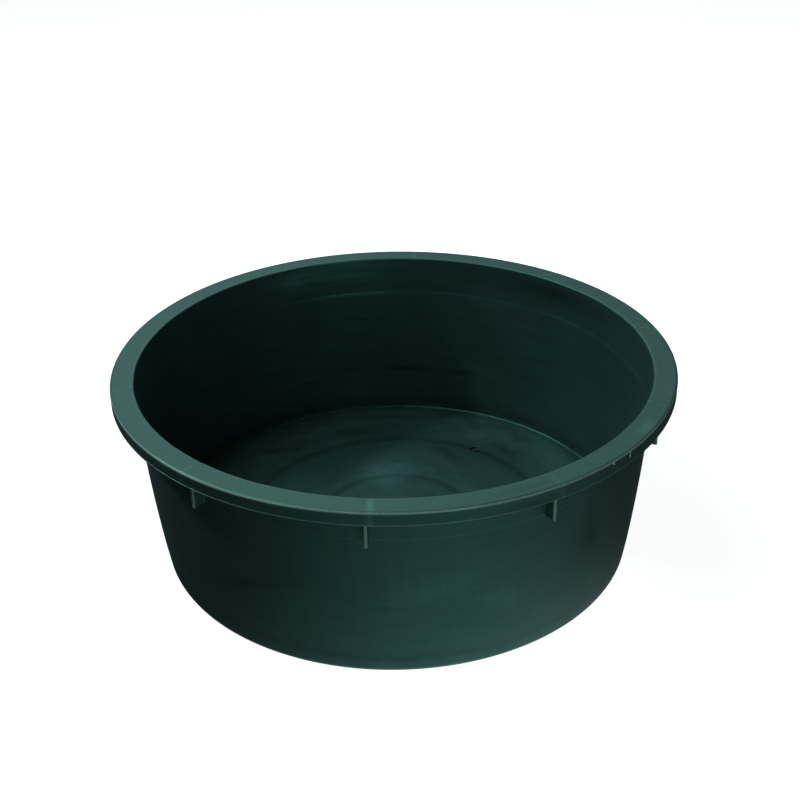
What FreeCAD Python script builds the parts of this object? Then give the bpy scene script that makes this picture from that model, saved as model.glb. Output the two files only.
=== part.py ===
"""Round mortar mixing tub: one polyethylene moulding, built as the ring zones of its wall.

Every ring zone is a profile turned about the tub's upright axis, and the ten gussets under the rim are
thin slices of one more profile. The origin is at the centre of the base, on the ground, with +Z up.
Neighbouring zones share the same edge, so they meet face to face.
"""
import FreeCAD, Part
import os

import Sketcher
from FreeCAD import Vector

# Driving sizes in millimetres: the alias in the sheet, the value, and what it measures.
SIZES = (
    ("rim_radius", 335.0, "outside of the rim"),
    ("tub_height", 241.0, "ground to the top of the rim"),
    ("rim_width", 25.8, "outside of the rim to the edge of the mouth"),
    ("rim_thickness", 4.0, "flat top of the rim"),
    ("rim_edge_round", 3.0, "outer top edge of the rim"),
    ("mouth_round", 2.4, "edge between the rim's top and the inner wall"),
    ("skirt_depth", 16.5, "top of the rim to the lower edge of the skirt"),
    ("skirt_thickness", 3.8, "skirt"),
    ("skirt_lip_round", 1.2, "lower edge of the skirt"),
    ("wall_thickness", 3.8, "side wall, measured level"),
    ("shoulder_drop", 51.0, "top of the rim to the shoulder"),
    ("shoulder_step", 1.2, "how far the shoulder stands out from the side wall"),
    ("shoulder_slope", 1.6, "height of the slope under the shoulder"),
    ("band_flare", 2.6, "how much the band above the shoulder opens to its top"),
    ("wall_taper", 14.1, "how much the side wall closes from shoulder to heel"),
    ("wall_bulge", 1.25, "how far the side wall swells from a straight line"),
    ("heel_height", 31.5, "ground to the top of the heel"),
    ("heel_taper", 4.6, "how much the heel closes over its height"),
    ("heel_round", 10.0, "lower outside corner of the heel"),
    ("foot_width", 5.0, "flat of the foot that stands on the ground"),
    ("foot_draft", 1.5, "slope of the foot's inner side"),
    ("floor_rise", 11.0, "ground to the underside of the floor"),
    ("floor_thickness", 4.0, "floor"),
    ("floor_fillet", 3.0, "inner corner between floor and heel"),
    ("outer_step_radius", 194.0, "outer step ring of the floor"),
    ("inner_step_radius", 97.0, "inner step ring of the floor"),
    ("floor_step", 0.8, "height of each step ring"),
    ("floor_step_run", 3.0, "width of each step's slope"),
    ("gusset_count", 10, "gussets, evenly spaced"),
    ("gusset_thickness", 3.5, "gusset, at its outer edge"),
    ("gusset_setback", 7.8, "inner side of the skirt to the gusset's outer edge"),
    ("gusset_overlap", 2.0, "how far inside the skirt the gusset widens"),
)

# Radii, from the rim inwards and down to the foot.
SKIRT_INSIDE = "(Sizes.rim_radius - Sizes.skirt_thickness)"
MOUTH = "(Sizes.rim_radius - Sizes.rim_width)"
BAND_TOP_INSIDE = f"({MOUTH} - Sizes.mouth_round)"
BAND_TOP = f"({BAND_TOP_INSIDE} + Sizes.wall_thickness)"
BAND_FOOT = f"({BAND_TOP} - Sizes.band_flare)"
WALL_TOP = f"({BAND_FOOT} - Sizes.shoulder_step)"
WALL_FOOT = f"({WALL_TOP} - Sizes.wall_taper)"
HEEL_CORNER = f"({WALL_FOOT} - Sizes.heel_taper)"
GUSSET_EDGE = f"({SKIRT_INSIDE} - Sizes.gusset_setback)"

# Heights above the ground.
RIM_TOP = "Sizes.tub_height"
FLANGE_BOTTOM = "(Sizes.tub_height - Sizes.rim_thickness)"
SKIRT_BOTTOM = "(Sizes.tub_height - Sizes.skirt_depth)"
SHOULDER = "(Sizes.tub_height - Sizes.shoulder_drop)"
BAND_BOTTOM = f"({SHOULDER} - Sizes.shoulder_slope)"
HEEL_TOP = "Sizes.heel_height"
FLOOR_TOP = "(Sizes.floor_rise + Sizes.floor_thickness)"

# The heel's slope from upright, and how far each of its two rounds reaches from its corner.
HEEL_ANGLE = "atan(Sizes.heel_taper / Sizes.heel_height)"
ROUND_REACH = f"tan((90 deg - {HEEL_ANGLE}) / 2)"
HEEL_REACH = f"(Sizes.heel_round * {ROUND_REACH})"
FILLET_REACH = f"(Sizes.floor_fillet * {ROUND_REACH})"
FLOOR_CORNER = f"({HEEL_CORNER} + {FLOOR_TOP} * tan({HEEL_ANGLE}) - Sizes.wall_thickness)"
HEEL_BASE = f"({FLOOR_TOP} + {FILLET_REACH} * cos({HEEL_ANGLE}))"
HEEL_BASE_INSIDE = f"({FLOOR_CORNER} + {FILLET_REACH} * sin({HEEL_ANGLE}))"
HEEL_BASE_OUTSIDE = f"({HEEL_CORNER} + {HEEL_BASE} * tan({HEEL_ANGLE}))"
FOOT_OUTSIDE = f"({HEEL_CORNER} - {HEEL_REACH})"
FOOT_INSIDE = f"({FOOT_OUTSIDE} - Sizes.foot_width)"
FLOOR_OUTSIDE = f"({FOOT_INSIDE} - Sizes.foot_draft)"

# The side wall's arc: its radius from the chord between its two ends and the height of the swelling.
WALL_CHORD = f"sqrt(({BAND_BOTTOM} - {HEEL_TOP})^2 + Sizes.wall_taper^2)"
WALL_ARC = f"({WALL_CHORD}^2 / (8 * Sizes.wall_bulge) + Sizes.wall_bulge / 2)"

FULL_TURN = "360"
FIRST_GUSSET_DEG = -90.0
ON_AXIS = "0"


def add_sheet(doc):
    """Write the driving sizes into the spreadsheet, one aliased cell each."""
    sheet = doc.addObject("Spreadsheet::Sheet", "Sizes")
    for row, (alias, size, meaning) in enumerate(SIZES, start=1):
        sheet.set(f"A{row}", meaning)
        sheet.set(f"B{row}", str(size))
        sheet.setAlias(f"B{row}", alias)
    doc.recompute()
    return sheet


def number(sheet, expression):
    """Give the plain number that an expression on the sheet comes to."""
    result = sheet.evalExpression(expression.replace("Sizes.", ""))
    return float(getattr(result, "Value", result))


def arc_between(start, end, radius):
    """Draw the short arc between two points; a positive radius bows to the right of the way drawn."""
    chord = end - start
    half = chord.Length / 2
    sagitta = abs(radius) - (radius**2 - half**2) ** 0.5
    side = Vector(chord.y, -chord.x, 0).normalize() * (sagitta if radius > 0 else -sagitta)
    return Part.Arc(start, (start + end) / 2 + side, end)


def pin_corner(sketch, edge, end, corner, spot):
    """Fix one corner of an outline at its radius and height on the sheet."""
    for kind, axis, expression, size in (
        ("DistanceX", -2, corner[0], spot.x),
        ("DistanceY", -1, corner[1], spot.y),
    ):
        if expression == ON_AXIS:
            sketch.addConstraint(Sketcher.Constraint("PointOnObject", edge, end, axis))
            continue
        index = sketch.addConstraint(Sketcher.Constraint(kind, -1, 1, edge, end, size))
        sketch.setExpression(f"Constraints[{index}]", expression)


def draw_outline(sketch, sheet, corners):
    """Draw a closed outline from (radius, height) corners, or (radius, height, bend) where an arc follows."""
    spots = [Vector(number(sheet, corner[0]), number(sheet, corner[1]), 0) for corner in corners]
    ends = []
    for index, corner in enumerate(corners):
        start, end = spots[index], spots[(index + 1) % len(spots)]
        if len(corner) == 3:
            edge = sketch.addGeometry(arc_between(start, end, number(sheet, corner[2])), False)
            radius = sketch.addConstraint(
                Sketcher.Constraint("Radius", edge, abs(number(sheet, corner[2])))
            )
            sketch.setExpression(f"Constraints[{radius}]", f"abs({corner[2]})")
        else:
            edge = sketch.addGeometry(Part.LineSegment(start, end), False)
        first_end, last_end = sketch.getPoint(edge, 1), sketch.getPoint(edge, 2)
        runs_forward = first_end.distanceToPoint(start) < last_end.distanceToPoint(start)
        ends.append((edge, 1, 2) if runs_forward else (edge, 2, 1))
    for index, (edge, first, last) in enumerate(ends):
        following, its_first, _ = ends[(index + 1) % len(ends)]
        sketch.addConstraint(Sketcher.Constraint("Coincident", edge, last, following, its_first))
        pin_corner(sketch, edge, first, corners[index], spots[index])


def origin_plane(body, role):
    """Find one of the body's own origin planes."""
    return next(feature for feature in body.Origin.OriginFeatures if feature.Role == role)


def turned_body(doc, sheet, label, corners, angle=FULL_TURN):
    """Make a body by turning an outline about the upright axis, evenly to both sides of the XZ plane."""
    body = doc.addObject("PartDesign::Body", label)
    body.Label = label
    sketch = body.newObject("Sketcher::SketchObject", f"{label}_outline")
    sketch.AttachmentSupport = (origin_plane(body, "XZ_Plane"), [""])
    sketch.MapMode = "FlatFace"
    draw_outline(sketch, sheet, corners)
    turn = body.newObject("PartDesign::Revolution", f"{label}_turn")
    turn.Profile = sketch
    turn.ReferenceAxis = (sketch, ["V_Axis"])
    turn.Midplane = True
    turn.setExpression("Angle", angle)
    sketch.Visibility = False
    return body


def raised(height, steps):
    """Give a floor height with some of its step rings added."""
    return f"({height} + {steps} * Sizes.floor_step)"


def floor_centre(doc, sheet):
    """Flat disc inside the inner step ring."""
    corners = (
        (ON_AXIS, raised("Sizes.floor_rise", 2)),
        ("Sizes.inner_step_radius", raised("Sizes.floor_rise", 2)),
        ("Sizes.inner_step_radius", raised(FLOOR_TOP, 2)),
        (ON_AXIS, raised(FLOOR_TOP, 2)),
    )
    return turned_body(doc, sheet, "floor_centre", corners)


def floor_zone(doc, sheet, label, inside, outside, steps):
    """Ring of floor that steps down by one step along its inner edge."""
    step_foot = f"({inside} + Sizes.floor_step_run)"
    corners = (
        (inside, raised("Sizes.floor_rise", steps + 1)),
        (step_foot, raised("Sizes.floor_rise", steps)),
        (outside, raised("Sizes.floor_rise", steps)),
        (outside, raised(FLOOR_TOP, steps)),
        (step_foot, raised(FLOOR_TOP, steps)),
        (inside, raised(FLOOR_TOP, steps + 1)),
    )
    return turned_body(doc, sheet, label, corners)


def foot_ring(doc, sheet):
    """Foot and rounded outer corner, with the floor's outer edge and the fillet inside."""
    corners = (
        (FOOT_INSIDE, ON_AXIS),
        (FOOT_OUTSIDE, ON_AXIS, "Sizes.heel_round"),
        (f"{HEEL_CORNER} + {HEEL_REACH} * sin({HEEL_ANGLE})", f"{HEEL_REACH} * cos({HEEL_ANGLE})"),
        (HEEL_BASE_OUTSIDE, HEEL_BASE),
        (HEEL_BASE_INSIDE, HEEL_BASE, "Sizes.floor_fillet"),
        (f"{FLOOR_CORNER} - {FILLET_REACH}", FLOOR_TOP),
        (FLOOR_OUTSIDE, FLOOR_TOP),
        (FLOOR_OUTSIDE, "Sizes.floor_rise"),
    )
    return turned_body(doc, sheet, "foot_ring", corners)


def heel_ring(doc, sheet):
    """Lowest part of the wall, which closes faster than the side wall does."""
    corners = (
        (HEEL_BASE_INSIDE, HEEL_BASE),
        (HEEL_BASE_OUTSIDE, HEEL_BASE),
        (WALL_FOOT, HEEL_TOP),
        (f"{WALL_FOOT} - Sizes.wall_thickness", HEEL_TOP),
    )
    return turned_body(doc, sheet, "heel_ring", corners)


def side_wall(doc, sheet):
    """Tapered wall from the heel up to the shoulder, swelling a little between them."""
    corners = (
        (WALL_FOOT, HEEL_TOP, WALL_ARC),
        (WALL_TOP, BAND_BOTTOM),
        (f"{WALL_TOP} - Sizes.wall_thickness", BAND_BOTTOM, f"-{WALL_ARC}"),
        (f"{WALL_FOOT} - Sizes.wall_thickness", HEEL_TOP),
    )
    return turned_body(doc, sheet, "side_wall", corners)


def shoulder_band(doc, sheet):
    """Wider band of wall above the shoulder, with the rounded edge of the mouth."""
    corners = (
        (f"{WALL_TOP} - Sizes.wall_thickness", BAND_BOTTOM),
        (WALL_TOP, BAND_BOTTOM),
        (BAND_FOOT, SHOULDER),
        (BAND_TOP, FLANGE_BOTTOM),
        (BAND_TOP, RIM_TOP),
        (MOUTH, RIM_TOP, "-Sizes.mouth_round"),
        (BAND_TOP_INSIDE, f"{RIM_TOP} - Sizes.mouth_round"),
        (f"{BAND_FOOT} - Sizes.wall_thickness", SHOULDER),
    )
    return turned_body(doc, sheet, "shoulder_band", corners)


def rim_flange(doc, sheet):
    """Flat top of the rim, between the band and the skirt."""
    corners = (
        (BAND_TOP, FLANGE_BOTTOM),
        (SKIRT_INSIDE, FLANGE_BOTTOM),
        (SKIRT_INSIDE, RIM_TOP),
        (BAND_TOP, RIM_TOP),
    )
    return turned_body(doc, sheet, "rim_flange", corners)


def rim_skirt(doc, sheet):
    """Upright skirt round the outside of the rim, rounded above and below."""
    corners = (
        (SKIRT_INSIDE, SKIRT_BOTTOM),
        ("Sizes.rim_radius - Sizes.skirt_lip_round", SKIRT_BOTTOM, "Sizes.skirt_lip_round"),
        ("Sizes.rim_radius", f"{SKIRT_BOTTOM} + Sizes.skirt_lip_round"),
        ("Sizes.rim_radius", f"{RIM_TOP} - Sizes.rim_edge_round", "Sizes.rim_edge_round"),
        ("Sizes.rim_radius - Sizes.rim_edge_round", RIM_TOP),
        (SKIRT_INSIDE, RIM_TOP),
    )
    return turned_body(doc, sheet, "rim_skirt", corners)


def gusset(doc, sheet, place):
    """One stiffening gusset under the rim, turned about the axis to its place."""
    shelf = f"({SKIRT_BOTTOM} + Sizes.gusset_overlap)"
    corners = (
        (BAND_FOOT, SHOULDER),
        (GUSSET_EDGE, SHOULDER),
        (GUSSET_EDGE, shelf),
        (SKIRT_INSIDE, shelf),
        (SKIRT_INSIDE, FLANGE_BOTTOM),
        (BAND_TOP, FLANGE_BOTTOM),
    )
    angle = f"Sizes.gusset_thickness / {GUSSET_EDGE} * 180 / pi"
    body = turned_body(doc, sheet, f"gusset_{place + 1:02d}", corners, angle)
    spacing = 360.0 / number(sheet, "Sizes.gusset_count")
    turn = FreeCAD.Rotation(Vector(0, 0, 1), FIRST_GUSSET_DEG + place * spacing)
    body.Placement = FreeCAD.Placement(Vector(0, 0, 0), turn)
    return body


def build(doc):
    """Build the sheet and every zone of the tub, from the floor's centre out to the rim."""
    sheet = add_sheet(doc)
    inner, outer = "Sizes.inner_step_radius", "Sizes.outer_step_radius"
    bodies = [
        floor_centre(doc, sheet),
        floor_zone(doc, sheet, "floor_middle", inner, outer, 1),
        floor_zone(doc, sheet, "floor_outer", outer, FLOOR_OUTSIDE, 0),
        foot_ring(doc, sheet),
        heel_ring(doc, sheet),
        side_wall(doc, sheet),
        shoulder_band(doc, sheet),
        rim_flange(doc, sheet),
        rim_skirt(doc, sheet),
    ]
    for place in range(round(number(sheet, "Sizes.gusset_count"))):
        bodies.append(gusset(doc, sheet, place))
    doc.recompute()
    return bodies


def check(doc, bodies):
    """Stop if any object failed to compute, or any zone is not one whole solid."""
    failed = [item.Name for item in doc.Objects if {"Invalid", "Error"} & set(item.State)]
    if failed:
        raise RuntimeError(f"these objects failed: {failed}")
    for body in bodies:
        shape = body.Shape
        if shape.isNull() or not shape.isValid() or len(shape.Solids) != 1 or shape.Volume <= 0:
            raise RuntimeError(f"{body.Label} is not one valid solid")


def export(bodies):
    """Write each zone to its own STEP file."""
    os.makedirs("parts", exist_ok=True)
    for body in bodies:
        body.Shape.exportStep(f"parts/{body.Label}.step")
        print(f"{body.Label}: {body.Shape.Volume / 1000:.1f} cm3")


document = FreeCAD.newDocument("mortar_tub")
zones = build(document)
check(document, zones)
export(zones)
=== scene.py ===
"""Round mortar mixing tub: one injection-moulded polyethylene piece, dressed zone by zone over its model.

Every zone of the tub is a section turned about the upright axis. One field of small moulding faults moves all
of the zones together, so that they stay joined, and one finish runs across them as on a single moulding.
"""
import logging
import math
from collections.abc import Sequence
from dataclasses import dataclass, field
from enum import Enum

import bpy
import numpy as np
from mathutils import Matrix, Vector


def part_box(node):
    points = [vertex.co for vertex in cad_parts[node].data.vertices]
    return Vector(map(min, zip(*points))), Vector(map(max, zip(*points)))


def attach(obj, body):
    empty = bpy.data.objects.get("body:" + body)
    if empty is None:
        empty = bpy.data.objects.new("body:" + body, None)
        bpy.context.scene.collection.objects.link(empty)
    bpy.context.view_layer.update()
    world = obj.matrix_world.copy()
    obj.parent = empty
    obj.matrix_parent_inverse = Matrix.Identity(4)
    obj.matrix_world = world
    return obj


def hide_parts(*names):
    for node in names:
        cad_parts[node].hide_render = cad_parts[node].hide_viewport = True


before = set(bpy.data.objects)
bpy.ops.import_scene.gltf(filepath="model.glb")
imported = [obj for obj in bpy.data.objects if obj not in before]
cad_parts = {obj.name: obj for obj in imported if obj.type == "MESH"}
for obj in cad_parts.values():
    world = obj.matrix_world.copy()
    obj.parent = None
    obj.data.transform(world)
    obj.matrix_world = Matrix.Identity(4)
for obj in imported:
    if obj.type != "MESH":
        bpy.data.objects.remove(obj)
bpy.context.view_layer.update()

MM = 0.001
BODY = "root"
SHARP_ANGLE = math.radians(40.0)
FULL_TURN = 2 * math.pi

Pair = tuple[float, float]
Triple = tuple[float, float, float]
Socket = bpy.types.NodeSocket
Input = bpy.types.NodeSocket | float | Sequence[float]

log = logging.getLogger("mortar_tub")


# ---------------------------------------------------------------- sizes read from the frame


def fade(values: np.ndarray, start: float, end: float) -> np.ndarray:
    """Rise smoothly from 0 at start to 1 at end, as 3u^2 - 2u^3; start may be the larger."""
    place = np.clip((values - start) / (end - start), 0.0, 1.0)
    return place * place * (3.0 - 2.0 * place)


def node_radius(node: str) -> float:
    """Read a round node's outer radius in metres, to the design's tenth of a millimetre."""
    low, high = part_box(node)
    return round(max(high.x - low.x, high.y - low.y) / 2, 4)


def node_heights(node: str) -> tuple[float, float]:
    """Read a node's lowest and highest points from the frame, in metres."""
    low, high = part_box(node)
    return low.z, high.z


@dataclass(frozen=True)
class TubSizes:
    """The tub's own sizes in metres.

    Radii and heights come from the frame, small rounds and walls from the design.
    """

    wall: float = 3.8 * MM
    mouth_round: float = 2.4 * MM
    rim_edge_round: float = 3.0 * MM
    lip_round: float = 1.2 * MM
    shoulder_step: float = 1.2 * MM
    wall_bulge: float = 1.25 * MM
    heel_round: float = 10.0 * MM
    heel_closing: float = 4.6 / 31.5
    floor_fillet: float = 3.0 * MM
    floor_thickness: float = 4.0 * MM
    floor_step: float = 0.8 * MM
    ring_inner: float = 9.0 * MM
    ring_outer: float = 5.0 * MM
    foot_width: float = 5.0 * MM
    gusset_setback: float = 7.8 * MM
    gusset_thickness: float = 3.5 * MM
    gusset_overlap: float = 2.0 * MM
    gusset_count: int = 10
    first_gusset: float = -math.pi / 2
    rim_radius: float = node_radius("rim_skirt")
    skirt_inside: float = node_radius("rim_flange")
    band_top: float = node_radius("shoulder_band")
    wall_top: float = node_radius("side_wall")
    wall_foot: float = node_radius("heel_ring")
    floor_outside: float = node_radius("floor_outer")
    outer_step: float = node_radius("floor_middle")
    inner_step: float = node_radius("floor_centre")
    rim_top: float = node_heights("rim_skirt")[1]
    skirt_bottom: float = node_heights("rim_skirt")[0]
    flange_bottom: float = node_heights("rim_flange")[0]
    band_bottom: float = node_heights("shoulder_band")[0]
    shoulder: float = node_heights("gusset_01")[0]
    heel_top: float = node_heights("heel_ring")[1]
    heel_base: float = node_heights("heel_ring")[0]
    floor_rise: float = node_heights("floor_outer")[0]

    @property
    def mouth(self) -> float:
        """Radius of the mouth's edge on the rim's flat top."""
        return self.band_top - self.wall + self.mouth_round

    @property
    def band_foot(self) -> float:
        """Outer radius of the band at the shoulder."""
        return self.wall_top + self.shoulder_step

    @property
    def band_flare(self) -> float:
        """How much the band's outer face widens for each metre of height."""
        return (self.band_top - self.band_foot) / (self.flange_bottom - self.shoulder)

    @property
    def floor_top(self) -> float:
        """Height of the floor's outer flat."""
        return self.floor_rise + self.floor_thickness

    @property
    def heel_slope(self) -> float:
        """The heel's slope from upright, in radians."""
        return math.atan(self.heel_closing)

    @property
    def heel_outer_foot(self) -> tuple[float, float]:
        """Radius and height of the outer edge between foot ring and heel ring."""
        return self.heel_outside(self.heel_base), self.heel_base

    @property
    def floor_corner(self) -> float:
        """Radius at which the heel's inner face would meet the floor without its fillet."""
        return self.heel_outside(self.floor_top) - self.wall

    @property
    def gusset_edge(self) -> float:
        """Radius of the gussets' outer edges below the skirt."""
        return self.skirt_inside - self.gusset_setback

    def floor_lift(self, radii: np.ndarray) -> np.ndarray:
        """Rise of the floor over its outer flat, one soft step up inside each of its two rings.

        Args:
            radii: distances from the axis.

        Returns:
            The rise at each of them.
        """
        rise = np.zeros_like(radii)
        for ring in (self.outer_step, self.inner_step):
            rise += self.floor_step * fade(radii, ring + self.ring_outer, ring - self.ring_inner)
        return rise

    def heel_outside(self, height: float) -> float:
        """Outer radius of the heel's straight slope at a height."""
        return self.wall_foot - (self.heel_top - height) * math.tan(self.heel_slope)

    def gusset_azimuths(self) -> np.ndarray:
        """Azimuths of the gussets, in radians."""
        return self.first_gusset + np.arange(self.gusset_count) * FULL_TURN / self.gusset_count


# ---------------------------------------------------------------- sections and meshes


def stroke(start: Sequence[float], end: Sequence[float], count: int) -> np.ndarray:
    """Draw a straight stroke of a section, its points bunched towards both ends as (1 - cos(pi u)) / 2.

    Args:
        start: first (radius, height).
        end: last (radius, height).
        count: how many steps it has.

    Returns:
        Its points without the last, as rows of (radius, height).
    """
    place = ((1.0 - np.cos(math.pi * np.linspace(0.0, 1.0, count + 1))) / 2.0)[:-1, None]
    return np.asarray(start) * (1.0 - place) + np.asarray(end) * place


def bend(start: Sequence[float], end: Sequence[float], radius: float, count: int) -> np.ndarray:
    """Draw an arc stroke of a section.

    The centre lies on the chord's perpendicular bisector, at the distance sqrt(radius^2 - half chord^2), and
    the arc sweeps from start to end round it. A positive radius bows the arc to the right of the way drawn.

    Args:
        start: first (radius, height).
        end: last (radius, height).
        radius: radius of the arc.
        count: how many steps it has.

    Returns:
        Its points without the last, as rows of (radius, height).
    """
    first, last = np.asarray(start, float), np.asarray(end, float)
    chord = last - first
    half = np.linalg.norm(chord) / 2.0
    left = np.array([-chord[1], chord[0]]) / (2.0 * half)
    centre = (first + last) / 2.0 + left * math.sqrt(radius**2 - half**2) * math.copysign(1.0, radius)
    from_angle = math.atan2(*(first - centre)[::-1])
    sweep = 2.0 * math.asin(half / abs(radius)) * math.copysign(1.0, radius)
    angles = from_angle + sweep * np.linspace(0.0, 1.0, count + 1)[:-1]
    return centre + abs(radius) * np.stack([np.cos(angles), np.sin(angles)], axis=1)


def outline(*legs: tuple, end: Sequence[float] | None = None) -> np.ndarray:
    """Draw a section as a chain of legs, each running to where the next one starts.

    Args:
        legs: for each leg its first (radius, height), its steps, and an arc's radius as bend() takes it.
        end: where the last leg ends; without it the section closes on its first point.

    Returns:
        Rows of (radius, height), without the end.
    """
    stops = [leg[0] for leg in legs[1:]] + [end or legs[0][0]]
    drawn = []
    for (start, count, *arc), stop in zip(legs, stops):
        drawn.append(bend(start, stop, arc[0], count) if arc else stroke(start, stop, count))
    return np.concatenate(drawn)


def mesh_object(name: str, points: np.ndarray, faces: list[np.ndarray]) -> bpy.types.Object:
    """Make a smooth-shaded mesh object whose creases over SHARP_ANGLE stay sharp.

    Args:
        name: name of the piece.
        points: (n, 3) places in metres.
        faces: arrays of corner indices, one row a face, each array with its own number of corners.

    Returns:
        The new object, at the origin.
    """
    mesh = bpy.data.meshes.new(name)
    mesh.vertices.add(len(points))
    mesh.vertices.foreach_set("co", points.astype(np.float32).ravel())
    corners = np.concatenate([rows.ravel() for rows in faces])
    sizes = np.concatenate([np.full(len(rows), rows.shape[1]) for rows in faces])
    mesh.loops.add(len(corners))
    mesh.loops.foreach_set("vertex_index", corners.astype(np.int32))
    mesh.polygons.add(len(sizes))
    mesh.polygons.foreach_set("loop_start", (np.cumsum(sizes) - sizes).astype(np.int32))
    mesh.polygons.foreach_set("use_smooth", np.ones(len(sizes), dtype=bool))
    mesh.update(calc_edges=True)
    mesh.validate()
    mesh.set_sharp_from_angle(angle=SHARP_ANGLE)
    piece = bpy.data.objects.new(name, mesh)
    bpy.context.scene.collection.objects.link(piece)
    return piece


def grid_faces(rows: int, columns: int, wrap_rows: bool, wrap_columns: bool) -> np.ndarray:
    """Join a grid of points into quads that face outwards.

    Args:
        rows: how many points the section has.
        columns: how many places it is repeated at.
        wrap_rows: whether the section is closed.
        wrap_columns: whether the last place joins the first.

    Returns:
        One row of four point indices a face.
    """
    row = np.arange(rows if wrap_rows else rows - 1)[:, None]
    column = np.arange(columns if wrap_columns else columns - 1)[None, :]
    next_row, next_column = (row + 1) % rows, (column + 1) % columns
    this, beyond = row * columns, next_row * columns
    quads = np.stack([this + column, this + next_column, beyond + next_column, beyond + column], axis=-1)
    return quads.reshape(-1, 4)


def turned(
    section: np.ndarray, angles: np.ndarray, stretch: float = 1.0
) -> tuple[np.ndarray, list[np.ndarray]]:
    """Turn a section about the upright axis.

    Point (i, j) is (r_i cos a_j, stretch r_i sin a_j, z_i). A section that starts and ends on the axis is
    closed there by a fan of triangles round one shared point.

    Args:
        section: rows of (radius, height), anticlockwise.
        angles: the angles that it is repeated at, in radians.
        stretch: how much longer the ring is one way than the other.

    Returns:
        The (n, 3) points, and the arrays of faces.
    """
    on_axis = section[0, 0] == 0.0
    rings = section[1:-1] if on_axis else section
    radius, height = rings[:, :1], rings[:, 1:]
    level = np.broadcast_arrays(radius * np.cos(angles), stretch * radius * np.sin(angles), height)
    points = np.stack(level, axis=-1).reshape(-1, 3)
    faces = [grid_faces(len(rings), len(angles), not on_axis, True)]
    if on_axis:
        column = np.arange(len(angles))
        following = (column + 1) % len(angles)
        start, end = len(points), len(points) + 1
        last = (len(rings) - 1) * len(angles)
        faces.append(np.stack([np.full_like(column, start), following, column], axis=1))
        faces.append(np.stack([last + column, last + following, np.full_like(column, end)], axis=1))
        points = np.concatenate([points, [(0.0, 0.0, section[0, 1]), (0.0, 0.0, section[-1, 1])]])
    return points, faces


# ---------------------------------------------------------------- the moulding's small faults


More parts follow.
